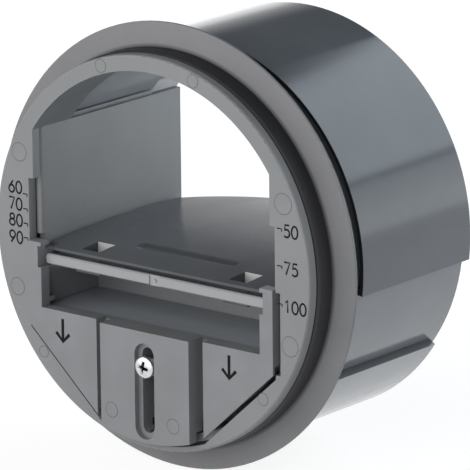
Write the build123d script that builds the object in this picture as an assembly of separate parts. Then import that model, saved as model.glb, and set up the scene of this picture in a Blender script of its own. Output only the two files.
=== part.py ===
from build123d import *
import math
import os

# Constant airflow regulator for a 125 mm round duct, in millimetres
# X is to the right, Y runs along the duct to the rear and Z is up
# The origin is where the duct axis meets the face of the front plate

# The shells set the size that fits the duct, and the body follows from them inwards
shell_radius = 60.0
shell_stand = 2.5
sleeve_wall = 2.2
neck_wall = 2.35
chamber_inset = 9.35

# Front plate and its mouth
plate_thick = 3.0
plate_edge = 0.6
foot_rim = 1.7
notch_spare = 0.5
relief_width = 1.75
relief_depth = 2.2
relief_drop = 0.7

# Neck, seal seat and snap lugs
neck_length = 14.0
lug_angles = (60, 120, 240, 300)
lug_sweep_angle = 8.0
lug_front = 13.2
lug_length = 2.0
lug_height = 1.3

# Lip seal
seal_gap = 0.6
seal_hub_length = 7.3
seal_hub_proud = 0.45
seal_lip_reach = 5.1
seal_lip_root = 1.4
seal_lip_tip = 0.8
seal_lip_sweep = 0.9

# Duct sleeve
sleeve_gap = 0.1
sleeve_rear = 71.0
sleeve_relief = 1.1
sleeve_relief_length = 14.0
sleeve_fit = 0.15
lug_fit = 0.25

# Upper and lower shells
shell_wall = 1.0
shell_fit = 0.1
shell_front = 21.0
lower_shell_short = 3.5
shell_edge = 1.8
upper_shell_angle = -6.7
lower_shell_angle = -146.5
shell_rib = 1.2
shell_rib_setback = 14.0
upper_rib_angles = (30, 60, 90, 120, 150)
lower_rib_angles = (-112, -90, -68)
upper_peg_angles = (15, 165)
lower_peg_angles = (-45, -135)
peg_radius = 1.5
peg_fit = 0.2
peg_depth = 46.0

# Chamber
wall_thick = 2.3
wall_setback = 0.2
wall_short = 4.6
wall_low = -34.0
ledge_thick = 1.6
ledge_rib = 0.8
ledge_rib_height = 1.1
ledge_length = 52.0
bulkhead_front = 28.0
bulkhead_thick = 2.0
bulkhead_top = -13.2

# Adjusting slide
travel_up = 17.8
travel_down = 3.4
slide_overlap = 1.5
slide_gap = 0.3
upright_reach = 3.15
upright_top = -2.8
panel_face = -0.9
panel_height = 5.4
panel_foot_inset = 7.1
panel_gap = 1.6
skin_rear = -0.1
centre_face = -3.2
centre_half_width = 16.35
centre_gap = 3.3
centre_foot_inset = 1.0
centre_wall = 1.75
web_inset = 0.45
web_thick = 1.8
web_drop = 0.6
shelf_thick = 1.6
ear_width = 1.65
ear_thick = 1.6
ear_top = -19.6
ear_height = 1.4

# Clamp screw and its slot
screw_radius = 1.75
screw_length = 19.0
head_radius = 3.3
head_height = 2.6
head_dome = 1.0
head_gap = 0.1
slot_gap = 0.35
slot_spare = 0.3
slot_foot_wall = 1.0
slot_head_wall = 3.4
counterbore_depth = 1.8
pillar_radius = 3.6
pillar_rib = 1.4
pillar_rib_reach = 9.0
pillar_rib_front = 16.0
recess_width = 1.1
recess_length = 4.0
recess_depth = 1.5

# Blade, its hinge and its rests
hinge_setback = 0.4
hinge_z = -8.1
bar_radius = 1.55
bar_reach = 0.6
bar_room = 0.6
bar_chamfer = 0.4
bar_end_radius = 0.9
hinge_notch_rise = 2.0
gate_half_width = 2.0
gate_depth = 0.4
gate_radius = 0.5
rod_radius = 0.8
rod_fit = 0.1
blade_gap = 0.85
nose_gap = 0.4
nose_wall = 1.6
nose_setback = 2.2
nose_lip = 0.8
nose_length = 4.0
blade_thick = 1.6
blade_crown_y = 45.0
blade_crown_z = -2.7
blade_camber_radius = 440.0
closing_angle = 46.0
bore_gap = 0.3
socket_x = 27.2
socket_width = 6.5
socket_length = 7.2
socket_depth = 5.4
socket_wall = 1.2
weight_fit = 0.15
weight_height = 2.4
groove_y = 16.8
groove_half_length = 16.1
groove_radius = 4.8
groove_depth = 0.7
blade_rib_x = 14.0
blade_rib_thick = 1.2
blade_rib_end = 74.0
blade_rib_low = -8.2
hinge_ear_depth = 2.8
hinge_ear_top = -5.4
hinge_ear_low = -11.0
arm_width = 4.4
arm_end = 20.6
arm_top = -7.6
arm_thick = 3.0
pad_front = 15.5
pad_length = 4.6
pad_inset = 0.4
pad_gap = 0.1

# Round sizes that follow, from the shells inwards
sleeve_radius = shell_radius - shell_stand
sleeve_bore = sleeve_radius - sleeve_wall
sleeve_relief_bore = sleeve_bore + sleeve_relief
neck_radius = sleeve_bore - sleeve_fit
mouth_radius = neck_radius - neck_wall
plate_radius = sleeve_radius
foot_radius = plate_radius - foot_rim
seat_radius = sleeve_radius + shell_fit
seal_hub_radius = plate_radius + seal_hub_proud
seal_lip_radius = shell_radius + seal_lip_reach
centre_foot_radius = foot_radius - centre_foot_inset

# Depths that follow, from the plate to the rear
neck_wall_end = plate_thick + neck_length
seal_front = plate_thick + seal_gap
seal_rear = seal_front + seal_hub_length
sleeve_front = seal_rear + sleeve_gap
sleeve_relief_front = sleeve_rear - sleeve_relief_length
lower_shell_rear = sleeve_rear - lower_shell_short
wall_front = plate_thick + wall_setback
wall_rear = sleeve_rear - wall_short
upright_rear = plate_thick - slide_gap
web_front = plate_thick + slide_gap
web_rear = web_front + web_thick
pillar_front = web_rear + slide_gap
counterbore_floor = centre_face + counterbore_depth
nose_front = plate_thick
hinge_y = plate_thick + hinge_setback
hinge_ear_rear = hinge_y + hinge_ear_depth
socket_front = nose_front + nose_wall + socket_wall

# Widths that follow, from the chamber
chamber_half_width = mouth_radius - chamber_inset
wall_outer = chamber_half_width + wall_thick
slide_half_width = chamber_half_width + slide_overlap
notch_half_width = slide_half_width + slide_gap
upright_inner = chamber_half_width - upright_reach
web_half_width = chamber_half_width - web_inset
panel_inner = centre_half_width + centre_gap
arm_outer = web_half_width
arm_inner = arm_outer - arm_width
blade_half_width = chamber_half_width - blade_gap
nose_half_width = upright_inner - nose_gap
bar_half_length = upright_inner + bar_reach
slot_half_width = screw_radius + slot_gap

# Heights that follow, from the foot of the centre plate upwards
slot_room = head_radius + slot_spare
screw_z = slot_foot_wall + travel_up + slot_room - centre_foot_radius
panel_top = screw_z + travel_down + slot_room + slot_head_wall
panel_corner = panel_top - panel_height
panel_foot = panel_foot_inset - plate_radius
web_top = panel_top - web_drop
relief_top = upright_top - relief_drop
notch_top = upright_top + travel_up + notch_spare
wall_top = math.sqrt(mouth_radius**2 - chamber_half_width**2)

duct_axis = Axis((0, 0, 0), (0, -1, 0))
far = 200.0


def slab(face, front, rear):
    """Thickens a face drawn in X and Z from one depth to another."""
    return extrude(Plane.XZ.offset(-front) * face, amount=front - rear)


def block(x, y, z):
    """A box between pairs of limits."""
    middle = [(low + high) / 2 for low, high in (x, y, z)]
    size = [high - low for low, high in (x, y, z)]
    return Pos(*middle) * Box(*size)


def ring(outer, inner, front, rear):
    return slab(Circle(outer) - Circle(inner), front, rear)


def turned(points, start=0, sweep=360):
    """Turns a section of (radius, depth) points about the duct from a start angle."""
    section = make_face(Polyline(*points, close=True))
    return revolve(section, axis=duct_axis, revolution_arc=sweep).rotate(duct_axis, start)


def sector(outer, inner, front, rear, start, sweep):
    """Part of a tube, from a start angle that counts from +X towards +Z."""
    outside = CenterArc((0, 0), outer, start, sweep)
    inside = CenterArc((0, 0), inner, start, sweep)
    ends = [Line(outside @ 1, inside @ 1), Line(inside @ 0, outside @ 0)]
    return slab(make_face([outside, inside] + ends), front, rear)


def peg(radius, outer, inner, angle):
    """A round peg that points at the duct axis."""
    stem = Pos((outer + inner) / 2, peg_depth, 0) * Rot(0, 90, 0) * Cylinder(radius, outer - inner)
    return stem.rotate(duct_axis, angle)


def both_sides(part):
    return part + mirror(part, about=Plane.YZ)


def plate_opening():
    """The mouth, the notches that the slide runs in and the room for its panels."""
    top = Circle(mouth_radius) & Pos(0, far / 2) * Rectangle(2 * chamber_half_width, far)
    slope = (panel_corner - panel_foot) / (slide_half_width - panel_inner)
    corner = panel_corner + slope * slide_gap - panel_gap
    foot = panel_foot - panel_gap
    room = make_face(
        Polyline(
            (-notch_half_width, notch_top),
            (notch_half_width, notch_top),
            (notch_half_width, corner),
            (panel_inner, foot),
            (-panel_inner, foot),
            (-notch_half_width, corner),
            close=True,
        )
    )
    bottom = Circle(foot_radius) & Pos(0, -far / 2) * Rectangle(2 * panel_inner, far)
    return top + room + bottom


def front_plate():
    plate = slab(Circle(plate_radius), 0, plate_thick)
    rim = plate.edges().filter_by(GeomType.CIRCLE).sort_by(Axis.Y)[0]
    plate = fillet(rim, plate_edge) - slab(plate_opening(), -far, far)
    relief = (notch_half_width, notch_half_width + relief_width)
    return plate - block(relief, (-far, relief_depth), (panel_corner, relief_top))


def chamber_wall():
    """The right wall with its round front rail, its ledge and the cut that the slide's ear runs in."""
    rail = wall_thick / 2
    middle = chamber_half_width + rail
    height = wall_top - wall_low
    side = (chamber_half_width, wall_outer)
    wall = block(side, (wall_front + rail, wall_rear), (wall_low, wall_top))
    wall += Pos(middle, wall_front + rail, wall_low + height / 2) * Cylinder(rail, height)
    ledge_rear = plate_thick + ledge_length
    wall += block((middle, far), (plate_thick, ledge_rear), (wall_top - ledge_thick, wall_top))
    rib = (middle, middle + ledge_rib)
    wall += block(rib, (plate_thick, ledge_rear), (wall_top - ledge_thick, wall_top + ledge_rib_height))
    low = ear_top - ear_height - travel_down - slide_gap
    high = ear_top + travel_up + slide_gap
    return wall - block((0, far), (0, web_front + ear_thick + slide_gap), (low, high))


def screw_pillar():
    pillar = slab(Pos(0, screw_z) * Circle(pillar_radius), pillar_front, bulkhead_front)
    ribs = Rectangle(2 * pillar_rib_reach, pillar_rib)
    ribs += Pos(0, -pillar_rib_reach / 2) * Rectangle(pillar_rib, pillar_rib_reach)
    pillar += slab(Pos(0, screw_z) * ribs, pillar_rib_front, bulkhead_front)
    tip = counterbore_floor - head_gap + screw_length
    return pillar - slab(Pos(0, screw_z) * Circle(screw_radius), 0, tip)


def make_housing():
    chamber = both_sides(chamber_wall())
    below = Pos(0, bulkhead_top - far / 2) * Rectangle(2 * wall_outer, far)
    chamber += slab(Circle(neck_radius) & below, bulkhead_front, bulkhead_front + bulkhead_thick)
    chamber &= slab(Circle(neck_radius), plate_thick, far)
    housing = front_plate() + ring(neck_radius, mouth_radius, plate_thick, neck_wall_end)
    housing += chamber + screw_pillar()
    lug = [
        (mouth_radius, lug_front),
        (neck_radius + lug_height, lug_front),
        (neck_radius, lug_front + lug_length),
        (mouth_radius, lug_front + lug_length),
    ]
    for angle in lug_angles:
        housing += turned(lug, angle - lug_sweep_angle / 2, lug_sweep_angle)
    return housing


def make_seal():
    lip_front = seal_rear - seal_lip_root
    tip = seal_rear + seal_lip_sweep
    return turned(
        [
            (neck_radius, seal_front),
            (seal_hub_radius - seal_gap, seal_front),
            (seal_hub_radius, seal_front + seal_gap),
            (seal_hub_radius, lip_front),
            (seal_lip_radius, tip - seal_lip_tip),
            (seal_lip_radius, tip),
            (seal_hub_radius, seal_rear),
            (neck_radius, seal_rear),
        ]
    )


def make_sleeve():
    sleeve = ring(sleeve_radius, sleeve_bore, sleeve_front, sleeve_rear)
    relief_end = sleeve_rear + sleeve_fit
    sleeve -= ring(sleeve_relief_bore, neck_radius, sleeve_relief_front, relief_end)
    window_front = lug_front - lug_fit
    window_rear = lug_front + lug_length + lug_fit
    window_sweep = lug_sweep_angle + 2 * math.degrees(lug_fit / neck_radius)
    window_outer = sleeve_radius + sleeve_fit
    for angle in lug_angles:
        start = angle - window_sweep / 2
        sleeve -= sector(window_outer, neck_radius, window_front, window_rear, start, window_sweep)
    for angle in upper_peg_angles + lower_peg_angles:
        sleeve -= peg(peg_radius + peg_fit, window_outer, neck_radius, angle)
    return sleeve


def make_shell(start, rear, rib_angles, peg_angles):
    """A thin cover that stands off the sleeve on lengthwise ribs, with two pegs through the sleeve."""
    sweep = 180 - 2 * start if start > -90 else 2 * (-90 - start)
    inner = shell_radius - shell_wall
    below = seat_radius - shell_wall
    edge = math.degrees(shell_edge / shell_radius)
    half_rib = math.degrees(shell_rib / inner) / 2
    shell = sector(shell_radius, seat_radius, shell_front, rear, start, sweep)
    shell -= sector(inner, below, 0, shell_front + shell_rib_setback, start + edge, sweep - 2 * edge)
    pocket_ends = [angle - half_rib for angle in rib_angles] + [start + sweep - edge]
    pocket_start = start + edge
    for pocket_end in pocket_ends:
        shell -= sector(inner, below, 0, rear - shell_wall, pocket_start, pocket_end - pocket_start)
        pocket_start = pocket_end + 2 * half_rib
    for angle in peg_angles:
        shell += peg(peg_radius, inner + shell_wall / 2, sleeve_bore, angle)
    return shell


def panel_outline(rise):
    """The right panel with its upright, its slanted foot raised by an amount."""
    return make_face(
        Polyline(
            (panel_inner, panel_top),
            (upright_inner, panel_top),
            (upright_inner, upright_top),
            (slide_half_width, upright_top),
            (slide_half_width, panel_corner + rise),
            (panel_inner, panel_foot + rise),
            close=True,
        )
    )


def slot(half_width, room):
    """The screw's slot over the slide's travel, in X and Z."""
    top = screw_z + travel_down + room
    low = screw_z - travel_up - room
    return Pos(0, (top + low) / 2) * SlotOverall(top - low, 2 * half_width, rotation=90)


def web_outline():
    """The back web that joins the panels, clear of the neck at the bottom of the travel."""
    outline = Pos(0, travel_down) * Circle(mouth_radius - slide_gap)
    return outline & Pos(0, web_top - far / 2) * Rectangle(2 * web_half_width, far)


def slide_centre():
    """The proud centre plate, hollow behind, with its counterbored slot."""
    below = Pos(0, panel_top - far / 2) * Rectangle(2 * centre_half_width, far)
    body_radius = foot_radius - travel_down - slide_gap
    centre = slab(Circle(centre_foot_radius) & below, centre_face, skin_rear)
    centre += slab(Circle(body_radius) & below, skin_rear, upright_rear)
    centre += slab(web_outline() & below, upright_rear, web_front)
    side_inner = centre_half_width - centre_wall
    slot_wall = slot_room + centre_wall
    pocket = Pos((side_inner + slot_wall) / 2, panel_top - centre_wall - far / 2)
    pocket = pocket * Rectangle(side_inner - slot_wall, far) & Circle(body_radius - centre_wall)
    return centre - both_sides(slab(pocket, counterbore_floor, web_front))


def slide_ears():
    """The right hinge ear, the arm with the pad's seat, and the lug that hooks behind the plate."""
    inside = (upright_inner, web_half_width)
    arm_height = (arm_top - arm_thick, arm_top)
    ears = block(inside, (upright_rear, hinge_ear_rear), (hinge_ear_low, hinge_ear_top))
    ears += block((arm_inner, arm_outer), (hinge_ear_rear, arm_end), arm_height)
    ears += block(inside, (hinge_y, hinge_ear_rear), arm_height)
    height = (ear_top - ear_height, ear_top)
    ear_rear = web_front + ear_thick
    ears += block((upright_inner, slide_half_width), (upright_rear, ear_rear), height)
    ears += block((upright_inner, slide_half_width + ear_width), (web_front, ear_rear), height)
    return ears


def make_slide():
    """Panels, uprights and ears on both sides, joined by the web, the shelf and the centre plate."""
    body_rise = travel_down + 2 * slide_gap - panel_gap
    side = slab(panel_outline(0), panel_face, skin_rear)
    side += slab(panel_outline(body_rise), skin_rear, upright_rear)
    side += slab(panel_outline(body_rise) & web_outline(), upright_rear, web_front)
    side += slide_ears()
    room = bar_radius + bar_room
    notch_x = (0, bar_half_length + bar_room)
    notch_z = (hinge_z - room, hinge_z + room + hinge_notch_rise)
    side -= block(notch_x, (-far, hinge_ear_rear), notch_z)
    slide = both_sides(side) + slide_centre() + slab(web_outline(), web_front, web_rear)
    shelf_x = (-web_half_width, web_half_width)
    slide += block(shelf_x, (web_front, bulkhead_front - slide_gap), (web_top - shelf_thick, web_top))
    slide -= slab(slot(slot_room, slot_room), centre_face, counterbore_floor)
    slide -= slab(slot(slot_half_width, slot_half_width), centre_face, far)
    return slide - hinge_bar(rod_radius, web_half_width)


def make_screw():
    floor = counterbore_floor - head_gap
    head = slab(Pos(0, screw_z) * Circle(head_radius), floor - head_height, floor)
    crown = head.edges().filter_by(GeomType.CIRCLE).sort_by(Axis.Y)[0]
    head = fillet(crown, head_dome)
    cross = Rectangle(recess_length, recess_width) + Rectangle(recess_width, recess_length)
    head -= slab(Pos(0, screw_z) * cross, floor - head_height, floor - head_height + recess_depth)
    return head + slab(Pos(0, screw_z) * Circle(screw_radius), floor, floor + screw_length)


def top_height(y):
    """Height of the blade's cambered top at a depth along the duct."""
    return blade_crown_z - (y - blade_crown_y) ** 2 / (2 * blade_camber_radius)


def camber_arc(depth, front, rear):
    """An arc in Y and Z at a depth under the blade's cambered top."""
    return ThreePointArc(*[(y, top_height(y) - depth) for y in (front, (front + rear) / 2, rear)])


def blade_tail():
    """Depth of the blade's rear edge on the centre line."""
    reach = sleeve_bore - bore_gap
    return hinge_y + (reach - hinge_z) / math.sin(math.radians(closing_angle))


def blade_outline():
    """The rear edge is the bore's own slanted section at the closing angle."""
    lean = math.sin(math.radians(closing_angle))
    reach = sleeve_bore - bore_gap
    middle = hinge_y - hinge_z / lean
    wide_front = nose_front + nose_length
    wide = Pos(0, wide_front + far / 2) * Rectangle(2 * blade_half_width, far)
    outline = Pos(0, middle) * Ellipse(reach, reach / lean) & wide
    return outline + Pos(0, nose_front + nose_length) * Rectangle(2 * nose_half_width, 2 * nose_length)


def blade_skin():
    front = nose_front
    rear = blade_tail()
    top = camber_arc(0, front, rear)
    low = camber_arc(blade_thick, front, rear)
    section = make_face([top, Line(top @ 1, low @ 1), low, Line(low @ 0, top @ 0)])
    strip = extrude(Plane.YZ * section, amount=blade_half_width, both=True)
    return strip & extrude(blade_outline(), amount=far, both=True)


def blade_rib():
    """The right stiffening rib under the skin."""
    front = nose_front + nose_wall
    top = camber_arc(blade_thick / 2, front, blade_rib_end)
    corners = Polyline(top @ 1, (blade_rib_end, blade_rib_low), (front, blade_rib_low), top @ 0)
    rib = extrude(Plane.YZ * make_face([top, corners]), amount=blade_rib_thick / 2, both=True)
    return Pos(blade_rib_x, 0, 0) * rib


def hinge_bar(radius, half_length):
    """A round bar along the hinge."""
    return Pos(0, hinge_y, hinge_z) * Rot(0, 90, 0) * Cylinder(radius, 2 * half_length)


def nose_bar():
    """The hinge bar with a flat face, a sunk moulding gate in its middle, and a channel behind it."""
    bar_front = hinge_y - bar_radius
    bar_z = (hinge_z - bar_radius, hinge_z + bar_radius)
    bar_x = (-bar_half_length, bar_half_length)
    face = block(bar_x, (bar_front, hinge_y), bar_z)
    face = fillet(face.edges().filter_by(Axis.Y), bar_end_radius)
    rim = face.faces().sort_by(Axis.Y)[0].edges()
    nose = chamfer(rim, bar_chamfer) + hinge_bar(bar_radius, bar_half_length - bar_end_radius)
    wall_rear_y = nose_front + nose_setback + nose_wall
    wall_half_width = arm_inner - nose_gap
    nose_x = (-wall_half_width, wall_half_width)
    web_z = (hinge_z - nose_wall / 2, hinge_z + nose_wall / 2)
    nose += block(nose_x, (hinge_y, wall_rear_y), web_z)
    nose_top = top_height(nose_front + nose_setback) - blade_thick / 2
    nose += block(nose_x, (nose_front + nose_setback, wall_rear_y), (hinge_z, nose_top))
    gate_y = (bar_front, bar_front + gate_depth)
    nose -= block((-gate_half_width, gate_half_width), gate_y, bar_z)
    return nose + slab(Pos(0, hinge_z) * Circle(gate_radius), *gate_y)


def make_blade():
    blade = blade_skin() + nose_bar()
    socket_top = top_height(socket_front) - blade_thick / 2
    floor = top_height(socket_front) - socket_depth
    x = (socket_x - socket_width / 2, socket_x + socket_width / 2)
    y = (socket_front, socket_front + socket_length)
    cup_x = (x[0] - socket_wall, x[1] + socket_wall)
    cup_y = (y[0] - socket_wall, y[1] + socket_wall)
    blade += both_sides(block(cup_x, cup_y, (floor - socket_wall, socket_top)) + blade_rib())
    blade -= both_sides(block(x, y, (floor, far)))
    blade -= hinge_bar(rod_radius + rod_fit, bar_half_length)
    channel_y = (nose_front, nose_front + nose_setback)
    channel_z = (hinge_z + bar_radius, top_height(nose_front) - nose_lip)
    blade -= block((-nose_half_width, nose_half_width), channel_y, channel_z)
    groove_z = top_height(groove_y) - groove_depth + groove_radius
    groove = Rot(0, 90, 0) * Cylinder(groove_radius, 2 * groove_half_length)
    groove += both_sides(Pos(groove_half_length, 0, 0) * Sphere(groove_radius))
    return blade - Pos(0, groove_y, groove_z) * groove


def make_rod():
    return hinge_bar(rod_radius, web_half_width)


def make_weights():
    floor = top_height(socket_front) - socket_depth
    half = socket_width / 2 - weight_fit
    y = (socket_front + weight_fit, socket_front + socket_length - weight_fit)
    return both_sides(block((socket_x - half, socket_x + half), y, (floor, floor + weight_height)))


def make_pads():
    top = top_height(pad_front) - blade_thick - pad_gap
    x = (arm_inner + pad_inset, blade_half_width - pad_inset)
    return both_sides(block(x, (pad_front, pad_front + pad_length), (arm_top, top)))


nodes = {
    "front_housing": make_housing(),
    "lip_seal": make_seal(),
    "duct_sleeve": make_sleeve(),
    "upper_shell": make_shell(upper_shell_angle, sleeve_rear, upper_rib_angles, upper_peg_angles),
    "lower_shell": make_shell(lower_shell_angle, lower_shell_rear, lower_rib_angles, lower_peg_angles),
    "adjusting_slide": make_slide(),
    "clamp_screw": make_screw(),
    "regulating_blade": make_blade(),
    "hinge_rod": make_rod(),
    "blade_weights": make_weights(),
    "rest_pads": make_pads(),
}

os.makedirs("parts", exist_ok=True)
for name, part in nodes.items():
    export_step(part, f"parts/{name}.step")
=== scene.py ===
import math

import bmesh
import bpy
from mathutils import Matrix, Vector


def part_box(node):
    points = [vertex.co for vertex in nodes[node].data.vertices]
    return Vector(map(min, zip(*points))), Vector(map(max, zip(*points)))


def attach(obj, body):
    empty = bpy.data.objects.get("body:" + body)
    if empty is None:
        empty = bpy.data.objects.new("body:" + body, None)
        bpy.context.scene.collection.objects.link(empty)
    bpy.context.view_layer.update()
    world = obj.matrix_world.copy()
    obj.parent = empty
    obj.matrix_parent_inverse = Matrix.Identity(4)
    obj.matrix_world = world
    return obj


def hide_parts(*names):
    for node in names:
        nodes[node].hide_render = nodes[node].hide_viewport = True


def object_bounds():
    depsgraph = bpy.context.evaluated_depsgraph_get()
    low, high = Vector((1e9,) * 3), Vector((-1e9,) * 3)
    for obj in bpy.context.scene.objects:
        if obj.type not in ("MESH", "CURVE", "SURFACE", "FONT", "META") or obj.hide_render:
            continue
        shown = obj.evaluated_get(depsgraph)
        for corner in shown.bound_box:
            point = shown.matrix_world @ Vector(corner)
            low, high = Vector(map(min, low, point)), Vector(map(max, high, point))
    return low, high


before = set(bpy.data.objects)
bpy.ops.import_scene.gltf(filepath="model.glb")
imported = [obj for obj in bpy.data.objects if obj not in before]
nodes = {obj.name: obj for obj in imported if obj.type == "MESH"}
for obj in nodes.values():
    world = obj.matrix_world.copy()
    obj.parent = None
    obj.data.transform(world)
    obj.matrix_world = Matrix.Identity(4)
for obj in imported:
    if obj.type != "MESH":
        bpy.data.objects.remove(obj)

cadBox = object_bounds()
scene = bpy.context.scene
scene.view_settings.view_transform = "Standard"
mm = 0.001
print("frame loaded with", len(nodes), "nodes")


# Node helpers

def addNode(tree, kind, inputs=None, **settings):
    node = tree.nodes.new("ShaderNode" + kind)
    for key, value in settings.items():
        setattr(node, key, value)
    for key, value in (inputs or {}).items():
        if isinstance(value, bpy.types.NodeSocket):
            tree.links.new(value, node.inputs[key])
        else:
            node.inputs[key].default_value = value
    return node


def calculate(tree, operation, *values):
    return addNode(tree, "Math", dict(enumerate(values)), operation=operation).outputs[0]


def calculateVector(tree, operation, *values):
    node = addNode(tree, "VectorMath", dict(enumerate(values)), operation=operation)
    return node.outputs["Value" if operation in ("LENGTH", "DOT_PRODUCT") else "Vector"]


def newFinish(name):
    material = bpy.data.materials.new(name)
    material.use_nodes = True
    tree = material.node_tree
    return material, tree, tree.nodes["Principled BSDF"]


def objectPoint(tree, stretch=(1, 1, 1)):
    coords = addNode(tree, "TexCoord")
    return addNode(tree, "Mapping", {"Vector": coords.outputs["Object"], "Scale": stretch}).outputs["Vector"]


def faceNormal(tree):
    return addNode(tree, "TexCoord").outputs["Normal"]


def noise(tree, point, scale, detail=3.0, rough=0.55):
    values = {"Vector": point, "Scale": scale, "Detail": detail, "Roughness": rough}
    return addNode(tree, "TexNoise", values).outputs["Fac"]


def spread(tree, value, low, high, fromLow=0.3, fromHigh=0.7):
    values = {"Value": value, "From Min": fromLow, "From Max": fromHigh, "To Min": low, "To Max": high}
    return addNode(tree, "MapRange", values).outputs["Result"]


def mixColour(tree, factor, first, second):
    tones = [tone if isinstance(tone, bpy.types.NodeSocket) else (*tone, 1) for tone in (first, second)]
    values = {0: factor, 6: tones[0], 7: tones[1]}  # 6 and 7 are the node's two colours
    return addNode(tree, "Mix", values, data_type="RGBA").outputs[2]


def bumpNormal(tree, height, strength, deep, under=None):
    values = {"Height": height, "Strength": strength, "Distance": deep * mm}
    if under is not None:
        values["Normal"] = under
    return addNode(tree, "Bump", values).outputs[0]


# ranges that count as a forward wall, by its normal's Y, and as a tube's inside or edge, by its reach, for
# painted light and painted shade
maskLook = {"forward": (-0.7, -0.4), "inside": (-10 * mm, 10 * mm), "edge": (15 * mm, 35 * mm)}


def paintedPatchMask(tree, paintedPatch):
    # a box in plan that takes painted light and painted shade, alike on both sides of the middle, on its
    # forward walls only if so asked
    place = addNode(tree, "SeparateXYZ", {0: objectPoint(tree)})
    mask = 1.0
    for axis, centre, half in zip("XY", paintedPatch["centre"], paintedPatch["half"]):
        fromMiddle = calculate(tree, "ABSOLUTE", place.outputs[axis])
        offCentre = calculate(tree, "ABSOLUTE", calculate(tree, "SUBTRACT", fromMiddle, centre * mm))
        inside = spread(tree, offCentre, 1, 0, (half - paintedPatch["soft"]) * mm, (half + paintedPatch["soft"]) * mm)
        mask = calculate(tree, "MULTIPLY", inside, mask)
    if paintedPatch["forward"]:
        lean = addNode(tree, "SeparateXYZ", {0: faceNormal(tree)}).outputs["Y"]
        mask = calculate(tree, "MULTIPLY", spread(tree, lean, 1, 0, *maskLook["forward"]), mask)
    return mask


def acrossAxis(tree, point):
    # a place or an offset without its share along Y
    return calculateVector(tree, "MULTIPLY", point, (1, 0, 1))


def axisDistance(tree, point):
    return calculateVector(tree, "LENGTH", acrossAxis(tree, point))


def outwardReach(tree):
    # how far a face of a tube looks away from its axis, below zero on its inside and near zero on its edges
    return calculateVector(tree, "DOT_PRODUCT", acrossAxis(tree, objectPoint(tree)), faceNormal(tree))


# Finishes

def mouldedPlastic(name, look):
    # cloudy tone, mould streaks along the draw, spark grain and fine scuffs
    material, tree, shader = newFinish(name)
    cloud = noise(tree, objectPoint(tree), look["cloud"])
    streak = noise(tree, objectPoint(tree, look["draw"]), look["streak"], look["streakDetail"])
    grain = noise(tree, objectPoint(tree), look["grain"], look["grainDetail"])
    scuff = noise(tree, objectPoint(tree, look["scuffRun"]), look["scuff"], *look["scuffDetail"])
    tone = mixColour(tree, spread(tree, cloud, 0, 1), look["dark"], look["light"])
    marks = spread(tree, scuff, 0, look["scuffTint"], *look["scuffFrom"])
    tone = mixColour(tree, marks, tone, look["scuffColour"])
    # painted light: a paler tone by depth along Y
    if "paintedShadingFrom" in look:
        depth = addNode(tree, "SeparateXYZ", {0: objectPoint(tree)}).outputs["Y"]
        tone = mixColour(tree, spread(tree, depth, 1, 0, *look["paintedShadingFrom"]), tone, look["paintedShading"])
    # painted light on a tube's inside
    if "inside" in look:
        inside = spread(tree, outwardReach(tree), 1, 0, *maskLook["inside"])
        tone = mixColour(tree, inside, tone, look["inside"])
    # painted shade on a tube's edge faces
    if "edge" in look:
        reach = calculate(tree, "ABSOLUTE", outwardReach(tree))
        tone = mixColour(tree, spread(tree, reach, 1, 0, *maskLook["edge"]), tone, look["edge"])
    # painted highlights and painted shade in boxes
    for paintedPatch in look.get("paintedPatches", ()):
        tone = mixColour(tree, paintedPatchMask(tree, paintedPatch), tone, paintedPatch["colour"])
    tree.links.new(tone, shader.inputs["Base Color"])
    low, high = look["rough"]
    rough = spread(tree, streak, low, high)
    scuffed = spread(tree, scuff, 0, look["scuffRough"], *look["scuffRoughFrom"])
    tree.links.new(calculate(tree, "ADD", rough, scuffed), shader.inputs["Roughness"])
    ripple = bumpNormal(tree, streak, look["rippleBump"], look["rippleDeep"])
    bump = bumpNormal(tree, grain, look["grainBump"], look["grainDeep"], ripple)
    tree.links.new(bump, shader.inputs["Normal"])
    shader.inputs["IOR"].default_value = look["ior"]
    shader.inputs["Specular IOR Level"].default_value = look["specular"]
    return material


def sealRubber(name, look):
    # matt rubber, dark at the root with painted shade in the groove, and paler out on the lip
    material, tree, shader = newFinish(name)
    point = objectPoint(tree)
    bloom = noise(tree, point, look["bloom"], look["bloomDetail"])
    grain = noise(tree, point, look["grain"], look["grainDetail"])
    paintedShading = spread(tree, axisDistance(tree, point), 0, 1, *look["paintedShadingFrom"])
    tone = mixColour(tree, spread(tree, bloom, 0, 1), look["dark"], look["light"])
    tone = mixColour(tree, paintedShading, look["paintedRootShade"], tone)
    tree.links.new(tone, shader.inputs["Base Color"])
    low, high = look["rough"]
    tree.links.new(spread(tree, bloom, low, high), shader.inputs["Roughness"])
    bump = bumpNormal(tree, grain, look["grainBump"], look["grainDeep"])
    tree.links.new(bump, shader.inputs["Normal"])
    shader.inputs["Specular IOR Level"].default_value = look["specular"]
    return material


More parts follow.
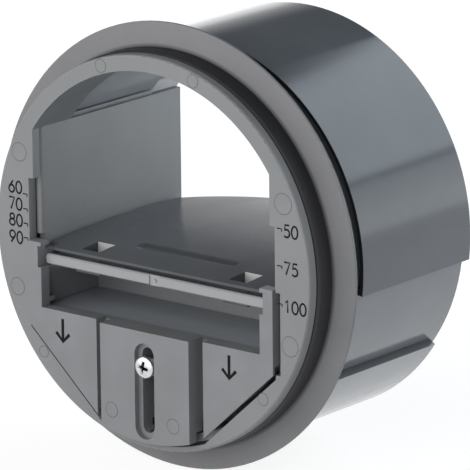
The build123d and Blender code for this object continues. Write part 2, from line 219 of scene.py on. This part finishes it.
def platedSteel(name, look):
    # plated metal with cloudy passivation and fine drawn lines, and painted shade down in a recess if so
    # asked
    material, tree, shader = newFinish(name)
    cloud = noise(tree, objectPoint(tree), look["cloud"], look["cloudDetail"])
    lines = noise(tree, objectPoint(tree, look["draw"]), look["lines"])
    tone = mixColour(tree, spread(tree, cloud, 0, 1), look["dark"], look["light"])
    if "recessShade" in look:
        offset = calculateVector(tree, "SUBTRACT", objectPoint(tree), look["centre"])
        depth = addNode(tree, "SeparateXYZ", {0: offset}).outputs["Y"]
        deep = spread(tree, depth, 0, 1, *look["recessShadeDeep"])
        near = spread(tree, axisDistance(tree, offset), 1, 0, *look["recessShadeWide"])
        tone = mixColour(tree, calculate(tree, "MULTIPLY", deep, near), tone, look["recessShade"])
    tree.links.new(tone, shader.inputs["Base Color"])
    low, high = look["rough"]
    tree.links.new(spread(tree, lines, low, high), shader.inputs["Roughness"])
    bump = bumpNormal(tree, lines, look["lineBump"], look["lineDeep"])
    tree.links.new(bump, shader.inputs["Normal"])
    shader.inputs["Metallic"].default_value = 1.0
    return material


def markFill(name, look):
    # flat dark fill of the figures, ticks, arrows and pin rings, a little worn; on the figures, ticks and pin
    # rings it is painted shade of their sunk lines
    material, tree, shader = newFinish(name)
    wear = noise(tree, objectPoint(tree), look["wear"], look["wearDetail"])
    tone = mixColour(tree, spread(tree, wear, 0, 1), look["dark"], look["light"])
    tree.links.new(tone, shader.inputs["Base Color"])
    low, high = look["rough"]
    tree.links.new(spread(tree, wear, low, high), shader.inputs["Roughness"])
    shader.inputs["Specular IOR Level"].default_value = look["specular"]
    return material


# draw and scuffRun stretch the noise, each From is the range where an effect comes in, Deep is in millimetres
satinLook = {
    "dark": (0.2, 0.206, 0.211), "light": (0.222, 0.228, 0.233), "cloud": 45.0, "draw": (1, 0.12, 1),
    "streak": 160.0, "streakDetail": 4.0, "rippleBump": 0.05, "rippleDeep": 0.2,
    "grain": 2600.0, "grainDetail": 2.0, "grainBump": 0.35, "grainDeep": 0.03,
    "scuff": 320.0, "scuffDetail": (6.0, 0.7), "scuffRun": (1, 0.35, 0.6), "scuffTint": 0.3,
    "scuffFrom": (0.62, 0.8), "scuffColour": (0.34, 0.34, 0.35), "scuffRough": 0.08,
    "scuffRoughFrom": (0.6, 0.8), "rough": (0.36, 0.44), "ior": 1.5, "specular": 0.5,
}
# paintedShading is a painted highlight, a paler tone behind the slide's face, as its range runs backwards,
# and on the blade's bar
slideLook = dict(satinLook, dark=(0.192, 0.196, 0.203), light=(0.226, 0.23, 0.239), cloud=60.0,
                 rough=(0.33, 0.41), paintedShading=(0.28, 0.3, 0.325), paintedShadingFrom=(6.4 * mm, 5.6 * mm))
# the blade is the satin plastic painted darker as shade over its top, and its bar is painted paler as a
# highlight
bladeShadedLook = dict(satinLook, dark=(0.074, 0.077, 0.084), light=(0.088, 0.092, 0.099), grainBump=0.08,
                 rippleBump=0.015, draw=(1, 0.15, 1), streak=110.0, rough=(0.17, 0.25), scuffTint=0.12,
                 specular=0.32, paintedShading=(0.33, 0.335, 0.34), paintedShadingFrom=(2.6 * mm, 3.0 * mm))
# painted highlight on the socket walls, painted shade on the finger groove's rear flank and painted highlight
# on its front flank, in millimetres
bladeShadedLook["paintedPatches"] = (
    {"centre": (27.2, 9.4), "half": (3.4, 3.75), "soft": 0.05, "forward": True,
     "colour": (0.52, 0.52, 0.52)},
    {"centre": (0, 18.0), "half": (17.2, 1.0), "soft": 0.35, "forward": False,
     "colour": (0.062, 0.065, 0.07)},
    {"centre": (0, 15.2), "half": (17.2, 0.5), "soft": 0.35, "forward": False,
     "colour": (0.4, 0.41, 0.42)},
)
shellLook = dict(satinLook, dark=(0.1, 0.111, 0.124), light=(0.118, 0.131, 0.145), grainBump=0.06,
                 rippleBump=0.012, draw=(1, 0.06, 1), streak=60.0, rough=(0.1, 0.15), scuffTint=0.08,
                 scuffColour=(0.14, 0.15, 0.16), specular=0.62)
# painted shade on the shell's front edge, dark in the gap behind the lip
shellEdgeShade = {"centre": (30.0, 21.0), "half": (40.0, 0.6), "soft": 0.1, "forward": True,
             "colour": (0.008, 0.008, 0.009)}
# the sleeve's paler inside is painted light
sleeveLook = dict(shellLook, dark=(0.165, 0.178, 0.192), light=(0.19, 0.204, 0.22), rough=(0.13, 0.19),
                  grainBump=0.05, specular=0.95, inside=(0.36, 0.38, 0.405))
# the lower shell is the sleeve's look painted paler, a painted reflection of the floor, with painted shade on
# its edge faces
lowerSheenAndShadeLook = dict(sleeveLook, dark=(0.25, 0.265, 0.28), light=(0.28, 0.297, 0.312), rough=(0.1, 0.15),
                 edge=(0.035, 0.037, 0.041))
# paintedRootShade is painted shade at the seal's root, in the groove by the plate
rubberLook = {
    "dark": (0.17, 0.17, 0.176), "light": (0.205, 0.205, 0.212), "bloom": 60.0, "bloomDetail": 5.0,
    "paintedRootShade": (0.022, 0.022, 0.024), "paintedShadingFrom": (58.0 * mm, 59.2 * mm),
    "grain": 1800.0, "grainDetail": 2.0, "grainBump": 0.4, "grainDeep": 0.05,
    "rough": (0.46, 0.58), "specular": 0.45,
}
padLook = dict(rubberLook, dark=(0.02, 0.02, 0.02), light=(0.032, 0.032, 0.032),
               paintedShadingFrom=(0.0, 1.0 * mm), rough=(0.6, 0.75))
zincLook = {
    "dark": (0.6, 0.61, 0.62), "light": (0.74, 0.75, 0.76), "cloud": 700.0, "cloudDetail": 4.0,
    "draw": (1, 0.1, 1), "lines": 2500.0, "lineBump": 0.2, "lineDeep": 0.02, "rough": (0.22, 0.36),
}
rodLook = dict(zincLook, dark=(0.42, 0.42, 0.43), light=(0.52, 0.52, 0.53), draw=(0.05, 1, 1),
               rough=(0.25, 0.4))
fillLook = {"dark": (0.006, 0.006, 0.007), "light": (0.014, 0.014, 0.015), "wear": 900.0,
            "wearDetail": 4.0, "rough": (0.6, 0.8), "specular": 0.08}
grooveLook = dict(fillLook, dark=(0.045, 0.047, 0.049), light=(0.07, 0.072, 0.075))

finishes = {
    "front_housing": mouldedPlastic("housingSatin", satinLook),
    "adjusting_slide": mouldedPlastic("slideSatin", slideLook),
    "regulating_blade": mouldedPlastic("bladeGlossPaintedShade", bladeShadedLook),
    "upper_shell": mouldedPlastic("shellGloss", dict(shellLook, paintedPatches=(shellEdgeShade,))),
    "duct_sleeve": mouldedPlastic("sleeveSatin", sleeveLook),
    "lower_shell": mouldedPlastic("lowerSatinSheenAndShade", lowerSheenAndShadeLook),
    "lip_seal": sealRubber("lipRubber", rubberLook),
    "rest_pads": sealRubber("padRubber", padLook),
    "clamp_screw": platedSteel("zincPlate", zincLook),
    "hinge_rod": platedSteel("drawnRod", rodLook),
}
finishes["blade_weights"] = finishes["clamp_screw"]
darkMarkFill = markFill("figureFill", fillLook)
grooveShade = markFill("grooveShade", grooveLook)
print("finishes made for", len(finishes), "nodes")


# Soft moulded edges and a finish for every node
edges = {
    "front_housing": 0.22, "adjusting_slide": 0.22, "regulating_blade": 0.16, "upper_shell": 0.32,
    "lower_shell": 0.32, "duct_sleeve": 0.2, "lip_seal": 0.18, "rest_pads": 0.2, "blade_weights": 0.15,
    "hinge_rod": 0.1,
}
edgeLook = {"weld": 0.002 * mm, "flat": math.radians(0.4), "sharp": math.radians(28), "steps": 3,
            "crease": math.radians(36), "evenWeight": 90}


def softenEdges(node, width):
    weld = node.modifiers.new("joinCorners", "WELD")
    weld.merge_threshold = edgeLook["weld"]
    flat = node.modifiers.new("flatFaces", "DECIMATE")
    flat.decimate_type = "DISSOLVE"
    flat.angle_limit = edgeLook["flat"]
    bevel = node.modifiers.new("mouldEdge", "BEVEL")
    bevel.width = width * mm
    bevel.segments = edgeLook["steps"]
    bevel.limit_method = "ANGLE"
    bevel.angle_limit = edgeLook["sharp"]
    bevel.use_clamp_overlap = True
    crease = node.modifiers.new("creases", "EDGE_SPLIT")
    crease.split_angle = edgeLook["crease"]
    crease.use_edge_sharp = False
    even = node.modifiers.new("flatShade", "WEIGHTED_NORMAL")
    even.weight = edgeLook["evenWeight"]
    even.keep_sharp = False


for name, node in nodes.items():
    node.data.materials.clear()
    node.data.materials.append(finishes[name])
    if name in edges:
        softenEdges(node, edges[name])
print("nodes finished:", len(nodes))


# Mesh helpers

def addObject(name, data):
    thing = bpy.data.objects.new(name, data)
    scene.collection.objects.link(thing)
    return thing


def addPiece(name, mesh, finish, body):
    piece = addObject(name, mesh)
    mesh.materials.clear()
    mesh.materials.append(finish)
    mesh.polygons.foreach_set("use_smooth", [True] * len(mesh.polygons))
    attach(piece, body)
    return piece


def arcPoints(centre, radii, start, end, steps=14):
    points = []
    for step in range(steps + 1):
        angle = math.radians(start + (end - start) * step / steps)
        points.append((centre[0] + radii[0] * math.cos(angle), centre[1] + radii[1] * math.sin(angle)))
    return points


def roundLoop(radius, depth, steps, centre=(0, 0)):
    # one turn about Y
    loop = []
    for step in range(steps):
        angle = 2 * math.pi * step / steps
        loop.append((centre[0] + radius * math.cos(angle), depth, centre[1] + radius * math.sin(angle)))
    return loop


def loopMesh(name, loops, caps=(0, -1)):
    # a skin over loops of points in millimetres, closed at the loops that caps names
    shape = bmesh.new()
    rows = [[shape.verts.new([value * mm for value in point]) for point in loop] for loop in loops]
    for first, second in zip(rows, rows[1:]):
        for step in range(len(first)):
            after = (step + 1) % len(first)
            shape.faces.new((first[step], first[after], second[after], second[step]))
    for cap in caps:
        shape.faces.new(rows[cap])
    bmesh.ops.recalc_face_normals(shape, faces=shape.faces)
    mesh = bpy.data.meshes.new(name)
    shape.to_mesh(mesh)
    shape.free()
    return mesh


def finalMesh(maker, name):
    # the maker's shape as a mesh of its own, and the maker is gone
    bpy.context.view_layer.update()
    mesh = bpy.data.meshes.new_from_object(maker.evaluated_get(bpy.context.evaluated_depsgraph_get()))
    mesh.name = name
    bpy.data.objects.remove(maker)
    return mesh


def strokeMesh(name, strokes, width, height, face, rounding=2):
    # round pen strokes in X and Z, flattened to a low ridge on a face at its place along Y
    curve = bpy.data.curves.new(name, "CURVE")
    curve.dimensions = "3D"
    curve.bevel_depth = width / 2 * mm
    curve.bevel_resolution = rounding
    curve.use_fill_caps = True
    for points, closed in strokes:
        spline = curve.splines.new("POLY")
        spline.points.add(len(points) - 1)
        for point, (x, z) in zip(spline.points, points):
            point.co = (x * mm, 0, z * mm, 1)
        spline.use_cyclic_u = closed
    mesh = finalMesh(addObject(name + "Maker", curve), name)
    bpy.data.curves.remove(curve)
    mesh.transform(Matrix.Diagonal((1, height / (width / 2), 1, 1)))
    mesh.transform(Matrix.Translation((0, face * mm, 0)))
    return mesh


# Scale figures, drawn one unit high with a round pen
figures = {
    "0": [(arcPoints((0.3, 0.5), (0.3, 0.5), 0, 345, 24), True)],
    "1": [([(0.12, 0.8), (0.34, 1.0), (0.34, 0.0)], False)],
    "5": [([(0.55, 1.0), (0.14, 1.0), (0.08, 0.58)]
           + arcPoints((0.27, 0.32), (0.31, 0.32), 118, -140), False)],
    "6": [([(0.46, 1.0), (0.2, 0.66)] + arcPoints((0.3, 0.31), (0.29, 0.31), 160, 505, 24), False)],
    "7": [([(0.02, 1.0), (0.58, 1.0), (0.2, 0.0)], False)],
    "8": [(arcPoints((0.3, 0.77), (0.23, 0.23), -90, 255, 22), True),
          (arcPoints((0.3, 0.27), (0.29, 0.27), 90, 435, 24), True)],
    "9": [([(0.14, 0.0), (0.4, 0.34)] + arcPoints((0.3, 0.69), (0.29, 0.31), -20, 325, 24), False)],
}
scale = {
    "face": 0.0, "figureHigh": 3.5, "figureWide": 2.75, "pen": 0.58, "proud": 0.04, "drop": 0.4,
    "left": {"60": (10.5, 2.0), "70": (6.1, 1.4), "80": (1.75, 0.9), "90": (-2.55, 0.1)},
    "leftTick": (-47.4, -45.9), "leftText": -52.8,
    "right": {"50": (15.2, 0.0), "75": (4.5, 0.0), "100": (-6.4, 0.0)},
    "rightTick": (46.1, 47.7), "rightText": 48.5, "tickPen": 0.42, "tickHook": 0.75,
}


def figureStrokes(text, x, middle):
    strokes = []
    base = middle - scale["drop"] - scale["figureHigh"] / 2
    for place, figure in enumerate(text):
        start = x + place * scale["figureWide"]
        for points, closed in figures[figure]:
            moved = [(start + px * scale["figureHigh"], base + pz * scale["figureHigh"]) for px, pz in points]
            strokes.append((moved, closed))
    return strokes


def makeScale():
    for side in ("left", "right"):
        first, last = scale[side + "Tick"]
        for text, (height, lift) in scale[side].items():
            # each tick is a hook along its top and right edge, painted shade of an engraved bar
            shadeHook = [(first, height), (last, height), (last, height - scale["tickHook"])]
            marks = {
                "mark": (figureStrokes(text, scale[side + "Text"], height + lift), scale["pen"]),
                "tick": ([(shadeHook, False)], scale["tickPen"]),
            }
            for name, (strokes, pen) in marks.items():
                mesh = strokeMesh(name + text, strokes, pen, scale["proud"], scale["face"])
                addPiece(name + text, mesh, darkMarkFill, "housing")


makeScale()
print("scale figures made:", len(scale["left"]) + len(scale["right"]))


# Plain arrows on the slide's panels: this side goes down
arrow = {"x": (-32.4, 29.2), "top": -24.2, "low": -31.0, "head": 2.5, "pen": 1.05, "face": -0.9,
         "proud": 0.05}


def makeArrows():
    for side, x in zip(("Left", "Right"), arrow["x"]):
        tip = (x, arrow["low"])
        barbs = [(x - arrow["head"], arrow["low"] + arrow["head"]), tip,
                 (x + arrow["head"], arrow["low"] + arrow["head"])]
        strokes = [([(x, arrow["top"]), tip], False), (barbs, False)]
        mesh = strokeMesh("downArrow" + side, strokes, arrow["pen"], arrow["proud"], arrow["face"])
        addPiece("downArrow" + side, mesh, darkMarkFill, "slide")


makeArrows()
print("arrows made")


# Witness marks of the mould's ejector pins: a low round land, dished, with a fine dark ring round it, painted
# shade of the pin's fine groove
pins = {
    "housing": {
        "node": "front_housing", "slot": "moulding", "face": 0.0,  # at holds X, Z and radius
        "at": [(-48.6, 22.7, 2.7), (48.3, 22.4, 3.0), (50.4, -18.2, 2.9), (-50.2, -17.6, 2.6),
               (-40.6, -35.6, 1.7), (40.6, -35.2, 1.8), (-17.2, 52.4, 1.9), (16.4, 52.6, 1.9)],
    },
    "slide": {
        "node": "adjusting_slide", "slot": "slide", "face": -3.2,
        "at": [(-12.4, -47.2, 2.2), (10.4, -48.0, 2.2)],
    },
}
pinLook = {"land": 0.05, "edge": 0.2, "dish": 1 / 4, "middle": 1 / 4, "middleDish": 1 / 6, "steps": 48,
           "pen": 0.16, "proud": 0.02}


def makePinMark(name, body, x, z, radius):
    pin = pins[body]
    land, edge, steps = pinLook["land"], pinLook["edge"], pinLook["steps"]
    profile = [(radius, 0), (radius - edge, land), (radius - 2 * edge, land * pinLook["dish"]),
               (radius * pinLook["middle"], land * pinLook["middleDish"])]
    loops = [roundLoop(reach, pin["face"] - proud, steps, (x, z)) for reach, proud in profile]
    addPiece(name, loopMesh(name, loops, caps=(-1,)), finishes[pin["node"]], body)
    ring = arcPoints((x, z), (radius, radius), 0, 360 - 360 / steps, steps - 1)
    groove = strokeMesh(name + "Ring", [(ring, True)], pinLook["pen"], pinLook["proud"], pin["face"])
    addPiece(name + "Ring", groove, grooveShade, body)


def makePinMarks():
    for body in pins:
        for number, (x, z, radius) in enumerate(pins[body]["at"], 1):
            makePinMark(f"{body}Pin{number}", body, x, z, radius)


makePinMarks()
print("pin marks made")


# Clamp screw: pan head with a cross recess, and a rolled thread
# crownArc is its start and end in degrees and its steps
screw = {
    "headRadius": 3.3, "headHigh": 2.6, "rim": 0.9, "foot": 0.15, "turnSteps": 72,
    "dome": 0.75, "crownArc": (82, 12, 12), "crownFall": 1.4, "crownBend": 0.8, "eye": 0.3,
    "recessLong": 2.05, "recessWide": 0.52, "recessDeep": 1.7, "recessTaper": 0.42, "recessTurn": 12,
    "recessAbove": 0.4, "recessMouth": 1.15,
    "bevel": 0.06, "bevelSteps": 2, "bevelFrom": math.radians(40), "sharp": math.radians(35),
    "coreRadius": 1.35, "threadRadius": 1.75, "pitch": 1.2, "flank": 2.6, "threadSteps": 40,
    "axialSteps": 12, "tip": 2.4, "tipShare": 0.45,
}
screwLow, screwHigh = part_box("clamp_screw")
screwAt = Vector(((screwLow.x + screwHigh.x) / 2, screwLow.y, (screwLow.z + screwHigh.z) / 2))
# recessShade is painted shade down in the cross recess
headLook = dict(zincLook, recessShade=(0.03, 0.03, 0.032), recessShadeDeep=(0.45 * mm, 0.9 * mm),
                recessShadeWide=(2.3 * mm, 2.6 * mm), centre=screwAt)


def wingMesh(name, quarter):
    # one bar of the tapered cross, from above the head to the recess floor
    loops = []
    for depth, grow in ((-screw["recessAbove"], screw["recessMouth"]),
                        (screw["recessDeep"], screw["recessTaper"])):
        long = screw["recessLong"] * grow
        wide = screw["recessWide"] * (1 + grow) / 2
        loops.append([(-long, depth, -wide), (long, depth, -wide), (long, depth, wide), (-long, depth, wide)])
    mesh = loopMesh(name, loops)
    mesh.transform(Matrix.Rotation(math.radians(90 * quarter + screw["recessTurn"]), 4, "Y"))
    return mesh


def makeScrewHead():
    radius, high, eye, foot = screw["headRadius"], screw["headHigh"], screw["eye"], screw["foot"]
    profile = [(eye, 0)]
    for out, rise in arcPoints((0, 0), (1, 1), *screw["crownArc"]):  # domed crown that rolls into the rim
        fall = screw["dome"] * (1 - rise) * screw["crownFall"]
        profile.append((eye + (radius - eye) * out ** screw["crownBend"], fall))
    profile += [(radius, high - screw["rim"]), (radius, high - foot), (radius - foot, high), (eye, high)]
    loops = [roundLoop(reach, depth, screw["turnSteps"]) for reach, depth in profile]
    head = addObject("screwHeadMaker", loopMesh("screwHead", loops))
    cutters = []
    for quarter in range(2):
        cutter = addObject(f"recess{quarter}", wingMesh(f"recess{quarter}", quarter))
        cut = head.modifiers.new(f"recess{quarter}", "BOOLEAN")
        cut.object = cutter
        cut.solver = "EXACT"
        cutters.append(cutter)
    soft = head.modifiers.new("edge", "BEVEL")
    soft.width = screw["bevel"] * mm
    soft.segments = screw["bevelSteps"]
    soft.angle_limit = screw["bevelFrom"]
    mesh = finalMesh(head, "screwHead")
    for cutter in cutters:
        bpy.data.objects.remove(cutter)
    mesh.transform(Matrix.Translation(screwAt))
    mesh.set_sharp_from_angle(angle=screw["sharp"])
    piece = addPiece("screwHead", mesh, platedSteel("headZinc", headLook), "housing")
    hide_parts("clamp_screw")


def makeScrewThread():
    length = (screwHigh.y - screwLow.y) / mm - screw["headHigh"]
    rows = int(length / screw["pitch"] * screw["axialSteps"])
    steps = screw["threadSteps"]
    loops = []
    for row in range(rows + 1):
        along = length * row / rows
        fade = min(1, (length - along) / screw["tip"])
        shrink = screw["tipShare"] + (1 - screw["tipShare"]) * fade
        loop = []
        for step in range(steps):
            phase = (along / screw["pitch"] - step / steps) % 1
            flank = max(0, 1 - abs(phase - 0.5) * screw["flank"])
            radius = screw["coreRadius"] + (screw["threadRadius"] - screw["coreRadius"]) * flank
            angle = 2 * math.pi * step / steps
            loop.append((radius * shrink * math.cos(angle), screw["headHigh"] + along,
                         radius * shrink * math.sin(angle)))
        loops.append(loop)
    mesh = loopMesh("screwThread", loops)
    mesh.transform(Matrix.Translation(screwAt))
    addPiece("screwThread", mesh, finishes["clamp_screw"], "housing")


makeScrewHead()
makeScrewThread()
print("clamp screw made")


# Camera at the photograph's angle: the line of sight through the origin, then a turn to the frame's middle
view = {
    "azimuth": 40.212, "elevation": 15.179, "roll": -0.844, "distance": 1432.5, "focalPixels": 5071.19,
    "framePixels": 470, "originPixel": (149.82, 254.82), "sensor": 36.0, "far": 20.0,
}


def makeCamera():
    azimuth, elevation, roll = (math.radians(view[turn]) for turn in ("azimuth", "elevation", "roll"))
    back = Vector((math.sin(azimuth) * math.cos(elevation), -math.cos(azimuth) * math.cos(elevation),
                   math.sin(elevation)))
    level = Vector((math.cos(azimuth), math.sin(azimuth), 0))
    rise = back.cross(level)
    right = math.cos(roll) * level + math.sin(roll) * rise
    up = math.cos(roll) * rise - math.sin(roll) * level
    middle = view["framePixels"] / 2
    acrossPixels = middle - view["originPixel"][0]
    upPixels = view["originPixel"][1] - middle
    sight = (right * acrossPixels + up * upPixels - back * view["focalPixels"]).normalized()
    side = up.cross(-sight).normalized()
    top = (-sight).cross(side)
    data = bpy.data.cameras.new("photoCamera")
    data.sensor_width = view["sensor"]
    data.lens = view["sensor"] * view["focalPixels"] / view["framePixels"]
    data.clip_end = view["far"]
    camera = addObject("photoCamera", data)
    turn = Matrix((side, top, -sight)).transposed().to_4x4()
    camera.matrix_world = Matrix.Translation(back * view["distance"] * mm) @ turn
    scene.camera = camera


makeCamera()
print("camera placed")


# Floor, lamps and surroundings
floorLook = {"size": 6.0, "colour": (0.86, 0.86, 0.86), "speck": 30.0, "speckLift": 1.02, "rough": 0.9,
             "glow": 0.86, "shade": 0.3, "farGlow": 1.0, "farFrom": (0.35, 1.2)}


def makeFloor():
    mesh = bpy.data.meshes.new("floor")
    half = floorLook["size"] / 2
    corners = [(-half, -half, 0), (half, -half, 0), (half, half, 0), (-half, half, 0)]
    mesh.from_pydata(corners, [], [(0, 1, 2, 3)])
    floor = addObject("floor", mesh)
    floor.location.z = cadBox[0].z
    material, tree, shader = newFinish("paleFloor")
    speck = noise(tree, objectPoint(tree), floorLook["speck"])
    lifted = [value * floorLook["speckLift"] for value in floorLook["colour"]]
    tone = mixColour(tree, spread(tree, speck, 0, 1), floorLook["colour"], lifted)
    tree.links.new(tone, shader.inputs["Base Color"])
    shader.inputs["Roughness"].default_value = floorLook["rough"]
    # white to the eye and in reflections, with part of its own shading kept for the shadow
    path = addNode(tree, "LightPath")
    glowShare = 1 - floorLook["shade"]
    looked = calculate(tree, "MAXIMUM", path.outputs["Is Camera Ray"], path.outputs["Is Glossy Ray"])
    share = calculate(tree, "MULTIPLY", looked, glowShare)
    away = calculateVector(tree, "LENGTH", objectPoint(tree))
    level = spread(tree, away, floorLook["glow"], floorLook["farGlow"], *floorLook["farFrom"])
    glow = addNode(tree, "Emission", {"Strength": calculate(tree, "DIVIDE", level, glowShare)})
    mixed = addNode(tree, "MixShader", {0: share, 1: shader.outputs[0], 2: glow.outputs[0]})
    tree.links.new(mixed.outputs[0], tree.nodes["Material Output"].inputs["Surface"])
    mesh.materials.append(material)


# places and sizes in metres, power in watts
lamps = {
    "frontBox": {"at": (-0.31, -1.63, 0.51), "size": (3.9, 1.95), "power": 53.5, "colour": (1, 1, 1)},
    "rearBox": {"at": (0.75, 1.7, 1.1), "size": (2.4, 1.0), "power": 16.5, "colour": (0.84, 0.93, 1)},
    "sideCard": {"at": (1.25, 1.5, 0.19), "size": (1.7, 0.66), "power": 3.7, "colour": (0.86, 0.94, 1)},
    "innerCard": {"at": (0.12, 0.48, 0.03), "size": (0.25, 0.2), "power": 0.92, "colour": (0.86, 0.94, 1)},
    "backCard": {"at": (-0.2, 0.3, 0.03), "size": (0.3, 0.14), "power": 0.04, "colour": (0.93, 0.97, 1)},
}
lampAim = Vector((0, 0.03, 0))


def makeLamps():
    for name, look in lamps.items():
        data = bpy.data.lights.new(name, "AREA")
        data.shape = "RECTANGLE"
        data.size, data.size_y = look["size"]
        data.energy = look["power"]
        data.color = look["colour"]
        lamp = addObject(name, data)
        lamp.location = look["at"]
        lamp.rotation_euler = (lampAim - lamp.location).to_track_quat("-Z", "Y").to_euler()


# soft light that is stronger from low down, and a white backdrop under a dim ceiling for what is mirrored
skyLook = {
    "light": {"low": (0.42, 0.43, 0.45), "high": (0.1, 0.105, 0.115), "from": (0.0, 0.32)},
    "mirrored": {"low": (1, 1, 1), "high": (0.1, 0.105, 0.115), "from": (0.05, 0.33)},
}


def makeSurroundings():
    world = bpy.data.worlds.new("studio")
    scene.world = world
    world.use_nodes = True
    tree = world.node_tree
    tree.nodes.clear()
    coords = addNode(tree, "TexCoord")
    height = addNode(tree, "SeparateXYZ", {0: coords.outputs["Generated"]}).outputs["Z"]
    tones = {}
    for use, look in skyLook.items():
        tones[use] = mixColour(tree, spread(tree, height, 0, 1, *look["from"]), look["low"], look["high"])
    path = addNode(tree, "LightPath")
    seen = mixColour(tree, path.outputs["Is Glossy Ray"], tones["light"], tones["mirrored"])
    seen = mixColour(tree, path.outputs["Is Camera Ray"], seen, (1, 1, 1))
    back = addNode(tree, "Background", {"Color": seen, "Strength": 1.0})
    addNode(tree, "OutputWorld", {"Surface": back.outputs[0]})


makeFloor()
makeLamps()
makeSurroundings()
print("floor and lamps placed")
